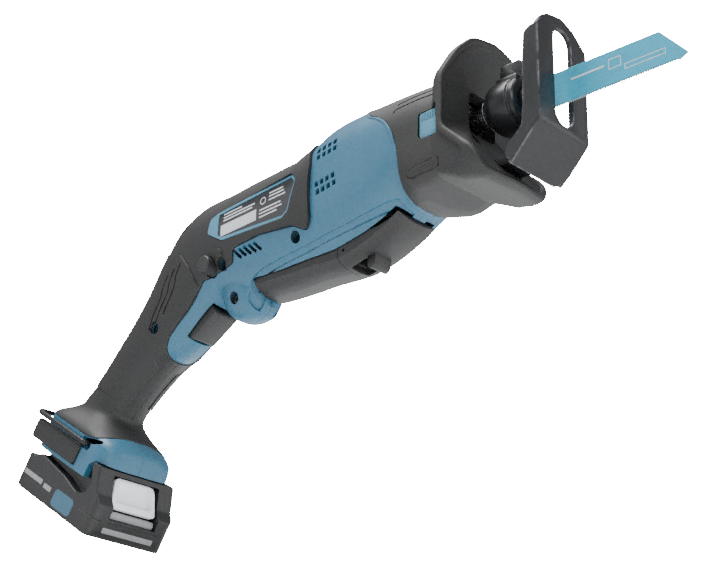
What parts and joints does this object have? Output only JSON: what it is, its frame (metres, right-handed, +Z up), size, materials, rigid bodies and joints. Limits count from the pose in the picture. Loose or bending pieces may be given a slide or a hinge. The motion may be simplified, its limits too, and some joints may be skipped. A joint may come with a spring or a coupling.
{
  "type": "reciprocating saw",
  "caption": "Compact cordless reciprocating saw: straight barrel with flared front boot, tilting slotted shoe, paddle lever, angled rear grip and slide-on battery.",
  "frame": {"origin": "centre of the bounding box on its lowest face, with the barrel level", "axes": "+X along the barrel towards the blade tip, +Y to the left of the tool, +Z up"},
  "size_m": [0.4652, 0.066, 0.226],
  "materials": {
    "blue_plastic": "moulded teal-blue glass-filled nylon, fine texture",
    "dark_plastic": "moulded dark grey plastic",
    "grip_rubber": "overmoulded elastomer, matt",
    "steel": "machined steel",
    "black_steel": "black oxide, semi-matt",
    "cast_alloy": "die cast",
    "blade_coating": "teal coating, satin",
    "bronze": "sintered bronze",
    "copper": "copper",
    "white_plastic": "moulded light grey-white plastic",
    "clear_lens": "clear lens",
    "cell_wrap": "shrink sleeve"
  },
  "bodies": {
    "housing": {"housing_right": "blue_plastic", "housing_left": "blue_plastic", "grip_skin_right": "grip_rubber", "grip_skin_left": "grip_rubber", "front_boot": "grip_rubber", "gear_housing": "cast_alloy", "housing_screw_front": "steel", "housing_screw_lobe": "steel", "housing_screw_middle": "steel", "housing_screw_rear_top": "steel", "housing_screw_grip": "steel", "motor_can": "steel", "motor_magnet_upper": "dark_plastic", "motor_magnet_lower": "dark_plastic", "plunger_bush": "bronze", "led_lens": "clear_lens", "lever_pin": "steel", "paddle_switch": "dark_plastic", "main_switch": "dark_plastic", "control_board": "blue_plastic", "terminal_block": "dark_plastic", "foot_bumper_right": "grip_rubber", "foot_bumper_left": "grip_rubber", "name_plate_right": "blue_plastic", "name_plate_left": "blue_plastic"},
    "rotor": {"motor_rotor": "copper", "cooling_fan": "dark_plastic", "drive_pinion": "steel"},
    "crank": {"crank_gear": "steel"},
    "plunger": {"plunger": "steel", "blade_clamp": "black_steel", "clamp_spring": "steel"},
    "sleeve": {"clamp_sleeve": "black_steel"},
    "blade": {"blade": "blade_coating"},
    "shoe_bar": {"shoe_bar": "steel", "shoe_pin": "steel"},
    "shoe": {"shoe": "black_steel"},
    "release_button": {"shoe_release_button": "blue_plastic"},
    "lever": {"switch_lever": "dark_plastic", "lever_front_cover": "dark_plastic"},
    "lock_off": {"lock_off_slider": "dark_plastic"},
    "trigger": {"rear_trigger": "dark_plastic"},
    "lock_button": {"lock_button": "dark_plastic"},
    "hook": {"hook_bail": "black_steel"},
    "battery": {"battery_case": "dark_plastic", "battery_lid": "dark_plastic", "battery_cell_1": "cell_wrap", "battery_cell_2": "cell_wrap", "battery_cell_3": "cell_wrap", "battery_terminals": "copper"},
    "battery_button": {"battery_button": "white_plastic"}
  },
  "joints": [
    {"name": "motor_spin", "type": "hinge", "parent": "housing", "child": "rotor", "pos_m": [-0.0108, 0, 0.1648], "axis": [1, 0, 0], "continuous": true},
    {"name": "crank_spin", "type": "hinge", "parent": "housing", "child": "crank", "pos_m": [0.0472, 0, 0.1738], "axis": [0, 0, 1], "continuous": true},
    {"name": "plunger_slide", "type": "slide", "parent": "housing", "child": "plunger", "axis": [1, 0, 0], "range_m": [-0.0065, 0.0065]},
    {"name": "clamp_sleeve_turn", "type": "hinge", "parent": "plunger", "child": "sleeve", "pos_m": [0.1292, 0, 0.1848], "axis": [1, 0, 0], "range_deg": [0, 60], "stiffness_Nm_per_rad": 0.06, "springref_deg": -17.19},
    {"name": "blade_slide", "type": "slide", "parent": "plunger", "child": "blade", "axis": [1, 0, 0], "range_m": [0, 0.015]},
    {"name": "shoe_slide", "type": "slide", "parent": "housing", "child": "shoe_bar", "axis": [1, 0, 0], "range_m": [0, 0.02]},
    {"name": "shoe_tilt", "type": "hinge", "parent": "shoe_bar", "child": "shoe", "pos_m": [0.14041, 0, 0.1498], "axis": [0, 1, 0], "range_deg": [-4, 30]},
    {"name": "release_push", "type": "slide", "parent": "housing", "child": "release_button", "axis": [0, 1, 0], "range_m": [0, 0.002], "stiffness_N_per_m": 400, "springref_m": -0.001},
    {"name": "lever_squeeze", "type": "hinge", "parent": "housing", "child": "lever", "pos_m": [-0.04929, 0, 0.1314], "axis": [0, -1, 0], "range_deg": [0, 3.2], "stiffness_Nm_per_rad": 4, "springref_deg": -2.86},
    {"name": "lock_off_slide", "type": "slide", "parent": "lever", "child": "lock_off", "axis": [-1, 0, 0], "range_m": [0, 0.01]},
    {"name": "trigger_pull", "type": "slide", "parent": "housing", "child": "trigger", "axis": [-0.515, 0, 0.8572], "range_m": [0, 0.006], "stiffness_N_per_m": 500, "springref_m": -0.002},
    {"name": "lock_button_push", "type": "slide", "parent": "housing", "child": "lock_button", "axis": [0, 1, 0], "range_m": [0, 0.004]},
    {"name": "battery_slide", "type": "slide", "parent": "housing", "child": "battery", "axis": [0.8406, 0, -0.5417], "range_m": [0, 0.05]},
    {"name": "battery_button_push", "type": "slide", "parent": "battery", "child": "battery_button", "axis": [-0.8406, 0, 0.5417], "range_m": [0, 0.0015], "stiffness_N_per_m": 800, "springref_m": -0.001},
    {"name": "hook_swing", "type": "hinge", "parent": "housing", "child": "hook", "pos_m": [-0.16819, 0, 0.05614], "axis": [0, 1, 0], "range_deg": [0, 30]}
  ],
  "couplings": [
    {"joint": "crank_spin", "follows": "motor_spin", "ratio": -0.26316}
  ]
}
